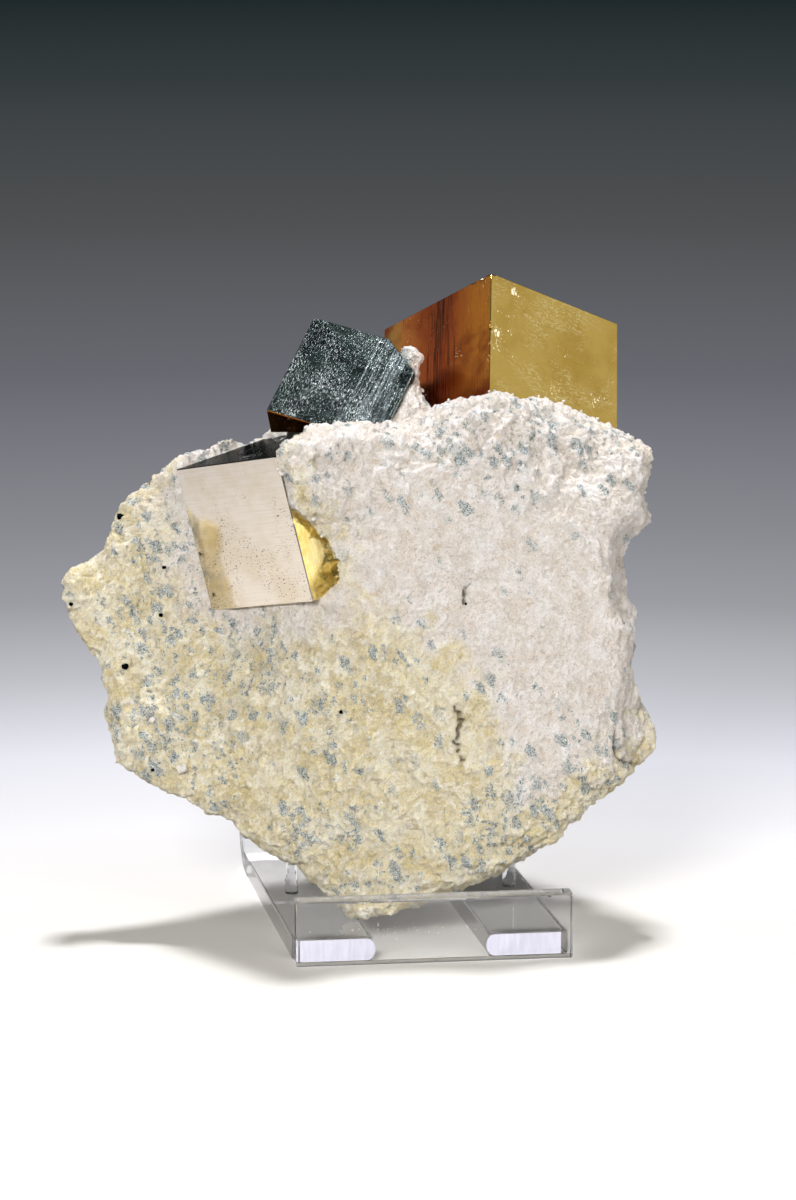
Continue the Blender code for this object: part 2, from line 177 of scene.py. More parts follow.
def buildTable():
    # Painted board, matt: white ground near the stone; its grey distance is painted light falloff, darker
    # paint and a glow though it is no lamp
    material, tree, shader = newMaterial("board, white paint with painted light falloff and glow")
    place = addNode(tree, "ShaderNodeTexCoord").outputs["Object"]
    away = addNode(tree, "ShaderNodeVectorMath", {0: place, 1: stageLook["fadeFrom"]}, operation="DISTANCE")
    share = addNode(tree, "ShaderNodeMath", {0: away.outputs["Value"], 1: stageLook["fadeStart"]},
                    operation="DIVIDE")
    span = stageLook["fadeEnd"] / stageLook["fadeStart"]
    share = addNode(tree, "ShaderNodeMath", {0: share.outputs[0], 1: span}, operation="LOGARITHM")
    paint = addNode(tree, "ShaderNodeValToRGB", {"Fac": share.outputs[0]}, stops=stageLook["paint"])
    glow = addNode(tree, "ShaderNodeValToRGB", {"Fac": share.outputs[0]}, stops=stageLook["glow"])
    tree.links.new(paint.outputs["Color"], shader.inputs["Base Color"])
    tree.links.new(glow.outputs["Color"], shader.inputs["Emission Color"])
    shader.inputs["Emission Strength"].default_value = 1.0
    shader.inputs["Roughness"].default_value = stageLook["roughness"]
    shader.inputs["Specular IOR Level"].default_value = stageLook["specular"]
    bm = bmesh.new()
    bmesh.ops.create_circle(bm, cap_ends=True, segments=stageLook["sides"], radius=stageLook["radius"])
    mesh = bpy.data.meshes.new("table")
    bm.to_mesh(mesh)
    bm.free()
    mesh.materials.append(material)
    table = bpy.data.objects.new("table", mesh)
    bpy.context.scene.collection.objects.link(table)


# Soft boxes: azimuth 0 is the camera's side and 90 the viewer's right, in degrees, then metres and watts
softBoxes = {
    "front soft box": dict(azimuth=-20.0, elevation=30.0, distance=1.0, size=(0.34, 0.26), power=13.6),
    "right front card": dict(azimuth=50.0, elevation=20.0, distance=1.0, size=(0.5, 0.5), power=6.2),
    "top soft box": dict(azimuth=178.0, elevation=75.5, distance=2.4, size=(0.24, 0.16), power=101.0,
                         colour="F8FAFF"),
    "right soft box": dict(azimuth=92.0, elevation=26.0, distance=0.8, size=(0.6, 0.32), power=0.34,
                           colour="FFF6E4"),
    "low right card": dict(azimuth=92.0, elevation=4.0, distance=0.8, size=(0.5, 0.16), power=0.32,
                           colour="FFFAF0"),
    "left soft box": dict(azimuth=-112.0, elevation=14.0, distance=0.8, size=(0.5, 0.4), power=0.37,
                          colour="FFF4E8"),
}
# The room's dim light, from straight below to straight above
roomLight = ((0.0, "BCBCBC"), (0.47, "454545"), (0.52, "212121"), (0.7, "303030"), (1.0, "454545"))


def addLight(name, azimuth, elevation, distance, size, power, colour="FFFFFF"):
    lamp = bpy.data.lights.new(name, "AREA")
    lamp.shape = "RECTANGLE"
    lamp.size = size[0]
    lamp.size_y = size[1]
    lamp.energy = power
    lamp.color = linear(colour)[:3]
    turn, rise = math.radians(azimuth), math.radians(elevation)
    way = Vector((math.sin(turn) * math.cos(rise), -math.cos(turn) * math.cos(rise), math.sin(rise)))
    item = bpy.data.objects.new(name, lamp)
    item.location = specimenPlace + way * distance
    item.rotation_mode = "QUATERNION"
    item.rotation_quaternion = (-way).to_track_quat("-Z", "Y")
    bpy.context.scene.collection.objects.link(item)


def buildLight():
    for name, box in softBoxes.items():
        addLight(name, **box)
    world = bpy.data.worlds.new("studio")
    bpy.context.scene.world = world
    world.use_nodes = True
    tree = world.node_tree
    way = addNode(tree, "ShaderNodeTexCoord").outputs["Generated"]
    rise = addNode(tree, "ShaderNodeSeparateXYZ", {0: way}).outputs["Z"]
    half = addNode(tree, "ShaderNodeMapRange", {"Value": rise, "From Min": -1.0, "From Max": 1.0})
    ramp = addNode(tree, "ShaderNodeValToRGB", {"Fac": half.outputs[0]}, stops=roomLight)
    tree.links.new(ramp.outputs["Color"], tree.nodes["Background"].inputs["Color"])


buildTable()
buildLight()
print("stage built")


def toSpecimen(places):
    # World metres to specimen millimetres
    inverse = np.array(specimenFrame.inverted())
    return (places @ inverse[:3, :3].T + inverse[:3, 3]) / mm


def vertexArrays(mesh):
    count = len(mesh.vertices)
    places = np.empty(count * 3)
    normals = np.empty(count * 3)
    mesh.vertices.foreach_get("co", places)
    mesh.vertices.foreach_get("normal", normals)
    return places.reshape(count, 3), normals.reshape(count, 3)


def smooth(value):
    value = np.clip(value, 0.0, 1.0)
    return value * value * (3.0 - 2.0 * value)


def lineDistance(x, z, line):
    # Distance of each point from a line of straight stretches, in the slab's front view
    best = np.full(len(x), 1e9)
    for (ax, az), (bx, bz) in zip(line, line[1:]):
        dx, dz = bx - ax, bz - az
        along = np.clip(((x - ax) * dx + (z - az) * dz) / (dx * dx + dz * dz), 0.0, 1.0)
        best = np.minimum(best, np.hypot(x - ax - along * dx, z - az - along * dz))
    return best


def insideShape(x, z, shape):
    # True for each point inside a closed outline in the slab's front view
    inside = np.zeros(len(x), bool)
    for (ax, az), (bx, bz) in zip(shape, shape[1:] + shape[:1]):
        if az == bz:
            continue
        crosses = (az > z) != (bz > z)
        inside ^= crosses & (x < (bx - ax) * (z - az) / (bz - az) + ax)
    return inside


def signedDistance(x, z, shape):
    away = lineDistance(x, z, shape + shape[:1])
    return np.where(insideShape(x, z, shape), away, -away)


def noiseAt(places, scale, octaves, shift=0.0):
    offset = Vector((shift, shift * 0.7, -shift))
    return np.array([noise.fractal(Vector(p) * scale + offset, 1.0, 2.1, octaves) for p in places])


def evaluatedMesh(item):
    bpy.context.view_layer.update()
    graph = bpy.context.evaluated_depsgraph_get()
    return bpy.data.meshes.new_from_object(item.evaluated_get(graph), depsgraph=graph).copy()


# The marl: a fine mesh made from the CAD node, roughened as broken marl is
marlLook = dict(
    voxel=0.42,              # grid of the fine mesh in mm
    softenSteps=4,
    # relief: how many lumps, sharper grains and broken layers to a millimetre, and their heights in mm
    lumpScale=0.42, lumpHeight=0.50,
    grainScale=1.15, grainHeight=0.34,
    layerScale=0.21, layerHeight=0.45,
    # where the marl meets a crystal, in mm: reach of the clean rim, width of the white in it, width
    # where the relief fades out, and how near a point is drawn right up to the crystal, and into it
    rimReach=2.4, rimWhite=1.4, rimFade=1.6, rimGap=0.62, rimOverlap=0.04,
    # pinkish white zone of the front face, and the yellow one that runs in again at the lower right
    whiteZone=[(-15, 19), (-9.5, 12), (-7.4, 2), (0.3, -2.8), (5.8, -6.9), (11.4, -12.0), (14.2, -16.7),
               (16.3, -25.0), (20.0, -27.5), (23.5, -24.6), (33.6, -20.4), (38.0, -12), (38, 26), (12.8, 34),
               (-13.6, 27)],
    # places with many blue-grey flecks: x, z, reach, strength; the two near z 33 on the peak between the
    # crystals are a painted bluish sheen
    fleckedPlaces=[(1.5, 33, 2.6, 1.0), (-33, -5, 9, 0.8), (-34, -18, 9, 0.9), (-20, -9, 8, 0.8),
                   (-26, -20, 9, 0.6), (-10, -14, 7, 0.7), (-8, -24, 8, 0.45), (-13, -32, 5, 0.9),
                   (-8, -32, 4, 0.9), (12, -32, 6, 0.9), (19, -28, 6, 0.8), (27, -21, 5, 0.8),
                   (8, 23, 7, 0.8), (18, 24, 6, 0.8), (26, 21, 5, 0.6), (-11, 20, 5, 0.5),
                   (14, -12, 4, 0.7), (-33, 8, 8, 0.75), (-1, -38, 5, 0.7), (-24, 20, 4, 0.3),
                   (13, 13, 5, 0.35), (1, -8, 5, 0.5), (-18, 21.5, 5, 0.45), (0.4, 33.4, 2.6, 1.6),
                   (-23, -4.5, 3.0, 0.7)],
    backFlecks=0.55,         # share of flecks away from the front
    # places where the ground is white though it lies outside the white zone; the one at (1.9, 33) whitens
    # the peak between the crystals as a painted highlight
    whitePlaces=[(-31, 14, 4.0, 0.9), (-30, 6, 4.0, 0.9), (-28, 0, 3.6, 0.9), (-22, -3, 3.4, 0.9),
                 (-14, -3, 4.0, 0.9), (-9, -1, 4.5, 0.9), (-28, 21.5, 4.0, 1.2), (-21, 23, 4.0, 1.2),
                 (1.9, 33, 5.0, 1.2), (-34, 12, 3.0, 0.5)],
    # places where the front lies deeper than in the CAD solid: x, z, reach, depth; and from which y to
    # the front, over how many mm, they come to their full depth
    sunkPlaces=[(-8.5, 7.5, 4.8, 3.3), (-4.0, 9.0, 6.0, 1.2), (8.0, 10.0, 9.0, 0.7), (-31, 1, 8.0, 1.4),
                (-34, -12, 8.0, 1.8), (-38, 1, 7.0, 3.4), (-36, -6, 6.0, 3.4), (-32, -4, 5.0, 2.6)],
    sunkFrom=6.5,
    sunkWidth=10.0,
    # place where the peak between the crystals is narrower than in the CAD solid: x, z, reach, way along x
    pushedPlaces=[(5.4, 31.2, 3.4, -1.6)],
    cracks=[dict(line=[(7.9, -14.6), (8.6, -16.5), (8.4, -18.0), (7.9, -19.6)], depth=1.1, width=0.34),
            dict(line=[(8.2, -20.4), (8.7, -21.6), (9.0, -23.0)], depth=0.9, width=0.28),
            dict(line=[(-2.5, -15.2), (0.0, -15.7), (1.6, -17.2), (3.6, -16.5), (5.4, -15.0), (7.2, -15.3)],
                 depth=0.3, width=0.3),
            dict(line=[(9.9, 2.8), (9.3, 1.0), (9.0, -0.6)], depth=0.9, width=0.32),
            dict(line=[(30.1, -17.8), (29.7, -20.1), (30.8, -22.2), (33.3, -22.9)], depth=0.6, width=0.34),
            dict(line=[(-29.8, -6.0), (-31.0, -9.5), (-33.0, -13.0)], depth=0.3, width=0.3)],
)


def meshTree(mesh, turn=Matrix()):
    # To find the nearest place on a mesh, or the one that a ray meets
    spots = [turn @ vert.co for vert in mesh.vertices]
    return BVHTree.FromPolygons(spots, [polygon.vertices[:] for polygon in mesh.polygons])


def closeToCrystals(places, reach):
    # Distance and way from each marl point to the nearest crystal, out to the reach
    trees = [meshTree(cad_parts[name].data) for name in crystals]
    away = np.full(len(places), reach)
    ways = np.zeros((len(places), 3))
    for i, place in enumerate(places):
        for tree in trees:
            spot, _, _, distance = tree.find_nearest(Vector(place), away[i])
            if spot is not None and distance < away[i]:
                away[i] = distance
                ways[i] = (spot - Vector(place)) / max(distance, 1e-9)
    return away, ways


def buildMarlMesh():
    source = bpy.data.objects.new("marl source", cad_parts["matrix"].data.copy())
    bpy.context.scene.collection.objects.link(source)
    even = source.modifiers.new("even", "REMESH")
    even.mode = "VOXEL"
    even.voxel_size = marlLook["voxel"] * mm
    soft = source.modifiers.new("soft", "SMOOTH")
    soft.factor = 0.5
    soft.iterations = marlLook["softenSteps"]
    mesh = evaluatedMesh(source)
    bpy.data.objects.remove(source, do_unlink=True)
    places, normals = vertexArrays(mesh)
    spots = toSpecimen(places)
    x, z = spots[:, 0], spots[:, 2]
    zone = signedDistance(x, z, marlLook["whiteZone"]) / 5.0 + 0.5
    white = smooth(zone + 0.9 * noiseAt(spots, 0.35, 5, 9.0))
    for px, pz, reach, strength in marlLook["whitePlaces"]:
        share = strength * np.exp(-((x - px) ** 2 + (z - pz) ** 2) / reach ** 2)
        white = np.maximum(white, smooth(share + 0.35 * noiseAt(spots, 0.5, 3, 3.0)))
    front = smooth(-normals[:, 1] * 2.0)
    away, ways = closeToCrystals(places, marlLook["rimReach"] * mm)
    free = smooth(away / mm / marlLook["rimFade"] + 0.12)
    # Clean white marl where it meets a crystal
    rim = smooth(1.5 - away / mm / marlLook["rimWhite"] + 0.4 * noiseAt(spots, 0.8, 3, 13.0))
    white = np.maximum(white, 0.95 * rim)
    # Crumbly lumps, sharper grains and thin broken layers; the white face is the smoother one
    lumps = noiseAt(spots, marlLook["lumpScale"], 3)
    grains = noiseAt(spots, marlLook["grainScale"], 3, 31.0)
    layers = noiseAt(spots * np.array((1.0, 1.0, 1.6)), marlLook["layerScale"], 4, 57.0) * 5.0
    layers = (layers - np.floor(layers)) ** 3
    crown = smooth((z - 13.0) / 5.0)
    calm = 1.0 - 0.55 * white * front * (1.0 - crown)
    height = marlLook["lumpHeight"] * lumps * calm
    height += marlLook["grainHeight"] * grains * (1.0 - 0.35 * white + 0.5 * crown)
    height -= marlLook["layerHeight"] * layers * (1.0 - 0.25 * white)
    # Sunk places go straight back from the camera, less and less toward the middle of the slab
    sunk = np.zeros(len(x))
    for px, pz, reach, depth in marlLook["sunkPlaces"]:
        sunk += depth * np.exp(-((x - px) ** 2 + (z - pz) ** 2) / reach ** 2)
    sunk *= smooth((marlLook["sunkFrom"] - spots[:, 1]) / marlLook["sunkWidth"])
    split = np.zeros(len(x))
    for crack in marlLook["cracks"]:
        wander = lineDistance(x + 0.5 * grains, z + 0.4 * lumps, crack["line"])
        opening = np.exp(-(wander / crack["width"]) ** 2) * front
        height -= crack["depth"] * opening
        split = np.maximum(split, np.minimum(1.0, 1.3 * crack["depth"]) * opening)
    moved = places + normals * (height * free * mm)[:, None]
    moved += np.outer(sunk * smooth(away / mm / marlLook["rimFade"]) * mm, np.array(specimenFrame)[:3, 1])
    clear = smooth(away / mm / marlLook["rimWhite"]) * mm
    for px, pz, reach, along in marlLook["pushedPlaces"]:
        share = clear * np.exp(-((x - px) ** 2 + (z - pz) ** 2) / reach ** 2)
        moved += np.outer(share * along, np.array(specimenFrame)[:3, 0])
    closing = np.where(away < marlLook["rimGap"] * mm, away + marlLook["rimOverlap"] * mm, 0.0)
    moved += ways * closing[:, None]
    mesh.vertices.foreach_set("co", moved.ravel())
    # Zones for the material: white share, share of flecks, hollow places and cracks, which the material
    # darkens as painted shade
    flecks = np.zeros(len(x))
    for px, pz, reach, strength in marlLook["fleckedPlaces"]:
        flecks = np.maximum(flecks, strength * np.exp(-((x - px) ** 2 + (z - pz) ** 2) / (1.2 * reach ** 2)))
    flecks = np.maximum(flecks, marlLook["backFlecks"] * (1.0 - front))
    hollow = smooth(0.5 - 1.2 * height)
    zones = mesh.attributes.new("marlZones", "FLOAT_COLOR", "POINT")
    zones.data.foreach_set("color", np.column_stack((white, flecks, hollow, split)).ravel())
    mesh.materials.clear()
    for polygon in mesh.polygons:
        polygon.use_smooth = True
    return mesh


marlPaint = dict(
    # Clouds over a ground: colour, noise with its patterns to a millimetre, the values of the noise
    # between which the colour comes up, and its strength
    yellow="EADAA8",
    yellowClouds=(("F8F0D6", dict(scale=0.22, roughness=0.65), 0.38, 0.62, 1.0),
                  ("FBF6EC", dict(scale=0.9, roughness=0.8), 0.50, 0.62, 0.8),
                  ("C6B27A", dict(scale=0.7, roughness=0.75, stretch=(1.0, 1.0, 0.7)), 0.57, 0.68, 0.7)),
    pale="EEE3DA",
    paleClouds=(("F7F2F0", dict(scale=0.35, roughness=0.65), 0.38, 0.62, 1.0),
                ("D9CDBC", dict(scale=1.2, roughness=0.8), 0.52, 0.66, 0.7),
                ("FEFCFA", dict(scale=1.9, roughness=0.8), 0.54, 0.66, 1.0)),
    # The same over both grounds: ochre stains, and over the flecks the dust in the fine grain
    stains=(("CDB078", dict(scale=0.5, roughness=0.6), 0.63, 0.70, 0.45),),
    dust=(("FEFCF8", dict(scale=3.3, detail=3.0, roughness=0.85), 0.53, 0.64, 0.8),),
    fleckEdge="C9D0D1", fleck="8F9C9F", fleckHeart="525F64",
    fineDirt="A79C84", hollowShade="B9A982", crackShade="574C2C",
    roughness=0.92,
    specular=0.25,
    coarseRelief=0.80,       # in mm, of lumps that the mesh is too coarse for, and of grains
    fineRelief=0.34,
)


def marlMaterial():
    # Broken marl, natural: cream and yellow with blue-grey flecks, powdery and without shine.
    # Clay clouds are 2 to 5 mm wide, blots 1 to 2 mm and the grain 0.25 mm
    material, tree, shader = newMaterial("marl, broken and powdery")
    place = addNode(tree, "ShaderNodeTexCoord").outputs["Object"]
    local = addNode(tree, "ShaderNodeMapping", {"Vector": place, "Scale": (1.0 / mm,) * 3}).outputs[0]
    zones = addNode(tree, "ShaderNodeAttribute", attribute_name="marlZones")
    parts = addNode(tree, "ShaderNodeSeparateColor", {"Color": zones.outputs["Color"]})
    white, flecked, hollow = (parts.outputs[i] for i in range(3))
    yellow = layClouds(tree, local, linear(marlPaint["yellow"]), marlPaint["yellowClouds"])
    pale = layClouds(tree, local, linear(marlPaint["pale"]), marlPaint["paleClouds"])
    ground = addNode(tree, "ShaderNodeMix", {0: white, 6: yellow, 7: pale}, data_type="RGBA").outputs[2]
    ground = layClouds(tree, local, ground, marlPaint["stains"])
    # Flecks: blots and ragged clouds of blue-grey stipple, each blot in a cell of its own, drawn out
    # down to the right
    bend = addNode(tree, "ShaderNodeTexNoise", {"Vector": local, "Scale": 0.9, "Detail": 4.0})
    bend = addNode(tree, "ShaderNodeVectorMath", {0: bend.outputs["Color"], 1: (0.5,) * 3},
                   operation="SUBTRACT")
    bend = addNode(tree, "ShaderNodeVectorMath", {0: bend.outputs[0], "Scale": 2.2}, operation="SCALE")
    bent = addNode(tree, "ShaderNodeVectorMath", {0: local, 1: bend.outputs[0]}, operation="ADD")
    drawn = addNode(tree, "ShaderNodeMapping", {"Vector": bent.outputs[0], "Rotation": (0.0, -0.44, 0.0),
                                                "Scale": (0.90, 0.90, 1.45)}, vector_type="TEXTURE")
    cells = addNode(tree, "ShaderNodeTexVoronoi", {"Vector": drawn.outputs[0], "Scale": 0.60})
    lots = addNode(tree, "ShaderNodeSeparateColor", {"Color": cells.outputs["Color"]})
    chosen = addNode(tree, "ShaderNodeMath", {0: flecked, 1: lots.outputs[0]}, operation="SUBTRACT")
    reach = addNode(tree, "ShaderNodeMapRange", {"Value": lots.outputs[1], "To Min": 0.18, "To Max": 0.64})
    inside = addNode(tree, "ShaderNodeMath", {0: reach.outputs[0], 1: cells.outputs["Distance"]},
                     operation="SUBTRACT")
    rags = cloud(tree, local, 0.85, 5.0, 0.75, (1.0, 1.0, 0.75), 0.3)
    ragged = addNode(tree, "ShaderNodeMath", {0: flecked, 1: 0.20, 2: rags}, operation="MULTIPLY_ADD")
    shares = []
    for value, low, high in ((chosen, -0.19, 0.07), (inside, -0.06, 0.20), (ragged, 0.68, 0.75)):
        share = addNode(tree, "ShaderNodeMapRange", {"Value": value.outputs[0], "From Min": low,
                                                     "From Max": high}, interpolation_type="SMOOTHSTEP")
        shares.append(share.outputs[0])
    blot = addNode(tree, "ShaderNodeMath", {0: shares[0], 1: shares[1]}, operation="MULTIPLY")
    fleck = addNode(tree, "ShaderNodeMath", {0: blot.outputs[0], 1: shares[2]}, operation="MAXIMUM")
    fleck = fleck.outputs[0]
    stipple = cloud(tree, local, 4.4, 2.0, 0.85)
    ground = layColour(tree, ground, marlPaint["fleckEdge"], fleck, strength=0.80, curve="LINEAR")
    ground = layColour(tree, ground, marlPaint["fleck"], stipple, 0.46, 0.54, within=fleck)
    ground = layColour(tree, ground, marlPaint["fleckHeart"], stipple, 0.55, 0.63, within=fleck)
    # Dust lies white in the fine grain, dirt in random clouds, and painted shade in the hollow places
    ground = layClouds(tree, local, ground, marlPaint["dust"])
    dirt = cloud(tree, local, 3.9, 3.0, 0.85)
    ground = layColour(tree, ground, marlPaint["fineDirt"], dirt, 0.56, 0.66, 0.65, mix="MULTIPLY")
    ground = layColour(tree, ground, marlPaint["hollowShade"], hollow, strength=0.30, curve="LINEAR",
                       mix="MULTIPLY")
    # Cracks are darkened dark brown, more for deeper ones: painted shade in the cracks
    ground = layColour(tree, ground, marlPaint["crackShade"], zones.outputs["Alpha"], 0.25, 0.85, 0.75)
    tree.links.new(ground, shader.inputs["Base Color"])
    shader.inputs["Roughness"].default_value = marlPaint["roughness"]
    shader.inputs["Specular IOR Level"].default_value = marlPaint["specular"]
    coarse = addNode(tree, "ShaderNodeBump", {"Height": cloud(tree, local, 1.5, 8.0, 0.80), "Strength": 1.0,
                                              "Distance": marlPaint["coarseRelief"] * mm})
    fine = addNode(tree, "ShaderNodeBump", {"Height": cloud(tree, local, 4.6, 3.0, 0.80), "Strength": 1.0,
                                            "Distance": marlPaint["fineRelief"] * mm,
                                            "Normal": coarse.outputs[0]})
    tree.links.new(fine.outputs[0], shader.inputs["Normal"])
    return material


marl = marlMaterial()
marlPiece = addPiece("marl_slab", buildMarlMesh(), [marl], ["matrix"])
print("marl built:", len(marlPiece.data.polygons), "faces")


# Pyrite faces. Colours are what the metal gives back; each face has grown and tarnished its own way, and on
# the dark striated faces of the middle and left crystals a dark reflection is painted into the colour.
# Scales are patterns to a millimetre along the crystal's three edges. A band is where the growth lines
# lie: along which edge, its middle and its half width in mm. The grazing colour tints a flat view.
# Colours across a face are an edge, and shares of the way along it with the colour at each.
pyriteLooks = dict(
    brassy=dict(name="pyrite, clean growth face with ripples", colour="E2C670", second="D2B25A", blotch=0.10,
                roughness=0.16, ripple=0.38, rippleScale=(0.6, 0.42, 1.5), crest=0.8, crestColour="FFF2BC",
                streak=0.0, fleck=0.06, fleckColour="F6F0DC", pit=0.0,
                scars=(((-11.9, -11.0, -3.6), 1.6), ((-11.9, -7.8, -10.4), 1.2))),
    tarnished=dict(name="pyrite, iron-oxide tarnish", second="8E4218", blotch=0.12,
                   across=(0, ((0.0, "C68634"), (0.18, "C07A2C"), (0.40, "A04C20"), (0.58, "A85424"),
                               (0.82, "C88040"), (0.93, "A8944E"))),
                   roughness=0.22, ripple=0.2, rippleScale=(2.0, 2.0, 0.5), crest=0.0,
                   streak=0.85, streakScale=(4.4, 4.4, 0.10), streakColour="2C1208", band=(0, -1.0, 3.2),
                   fleck=0.03, fleckColour="F8E8C8", pit=0.0),
    # Painted dark reflection: the dark colour, and the pale streaks and crests over it, stand in for the
    # dark room and light streaks this face mirrors
    steelyPaintedDark=dict(name="pyrite, striated dark face", colour="3E4E49", second="0D1518", blotch=0.34,
                roughness=0.22, ripple=0.7, rippleScale=(1.1, 0.5, 0.8), crest=0.5, crestColour="B8C6C2",
                streak=0.9, streakScale=(4.2, 0.13, 1.0), streakColour="BCC8CA", band=(0, 4.8, 4.4),
                fleck=0.90, fleckColour="D8E0DE", fleckStretch=(4.2, 0.66, 1.6), grouping=0.22, crisp=0.07,
                pit=0.0),
    silvery=dict(name="pyrite, pale face with faint striations", colour="E8DCCA", second="E0D2BA",
                 blotch=0.14, roughness=0.06, ripple=0.04, rippleScale=(0.4, 2.6, 2.6), crest=0.0,
                 streak=0.10, streakScale=(0.13, 4.4, 1.0), streakColour="B0A288", band=(1, 4.0, 30.0),
                 fleck=0.0, pit=0.9, pitColour="2A2620"),
    glowing=dict(name="pyrite, yellow face beside the marl", colour="FDECAC", second="F6DE8C", blotch=0.35,
                 roughness=0.05, ripple=0.12, rippleScale=(1.2, 0.9, 1.2), crest=0.25, crestColour="C8A84C",
                 streak=0.2, streakScale=(1.0, 0.3, 2.0), streakColour="B8963C", band=(1, 0.0, 30.0),
                 fleck=0.05, fleckColour="FFF4CC", pit=0.3, pitColour="2A2620"),
    # Painted dark reflection: the near-black colour and dark grazing tint stand in for the dark room that
    # this top face mirrors
    inkyPaintedDark=dict(name="pyrite, striated top face", colour="0C0F10", second="060808", blotch=0.3,
              roughness=0.16, ripple=0.3, rippleScale=(0.6, 2.0, 3.0), crest=0.0,
              streak=0.22, streakScale=(3.4, 1.0, 0.16), streakColour="B8C0C0", band=(0, 0.0, 30.0),
              grazing="202426", fleck=0.34, fleckColour="F4F8F6", fleckStretch=(2.6, 1.0, 0.20),
              grouping=0.45, crisp=0.04, pit=0.0),
    chipped=dict(name="pyrite, freshly chipped edge", colour="E8DCB8", second="A89468", blotch=1.2,
                 roughness=0.42, ripple=0.9, rippleScale=(3, 3, 3), crest=0.4, crestColour="F6F0DC",
                 streak=0.0, fleck=0.5, fleckColour="F8F6F0", pit=0.3, pitColour="2A2620"),
)
# Which look each face has: the axis of the crystal and the side, and the look of the rest
faceLooks = dict(
    pyrite_cube_large={(0, -1): "brassy", (1, -1): "tarnished", "rest": "brassy"},
    pyrite_cube_middle={(2, -1): "steelyPaintedDark", (1, 1): "tarnished", "rest": "steelyPaintedDark"},
    pyrite_cube_left={(2, -1): "silvery", (0, 1): "glowing", (1, -1): "inkyPaintedDark", "rest": "silvery"},
)


pyriteRelief = dict(ripple=0.10, streak=0.08)      # heights in mm


def crystalTurn(crystal):
    one = Vector(crystal["edgeOne"]).normalized()
    two = Vector(crystal["edgeTwo"])
    two = (two - one * two.dot(one)).normalized()
    return specimenFrame.to_3x3() @ Matrix((one, two, one.cross(two))).transposed()


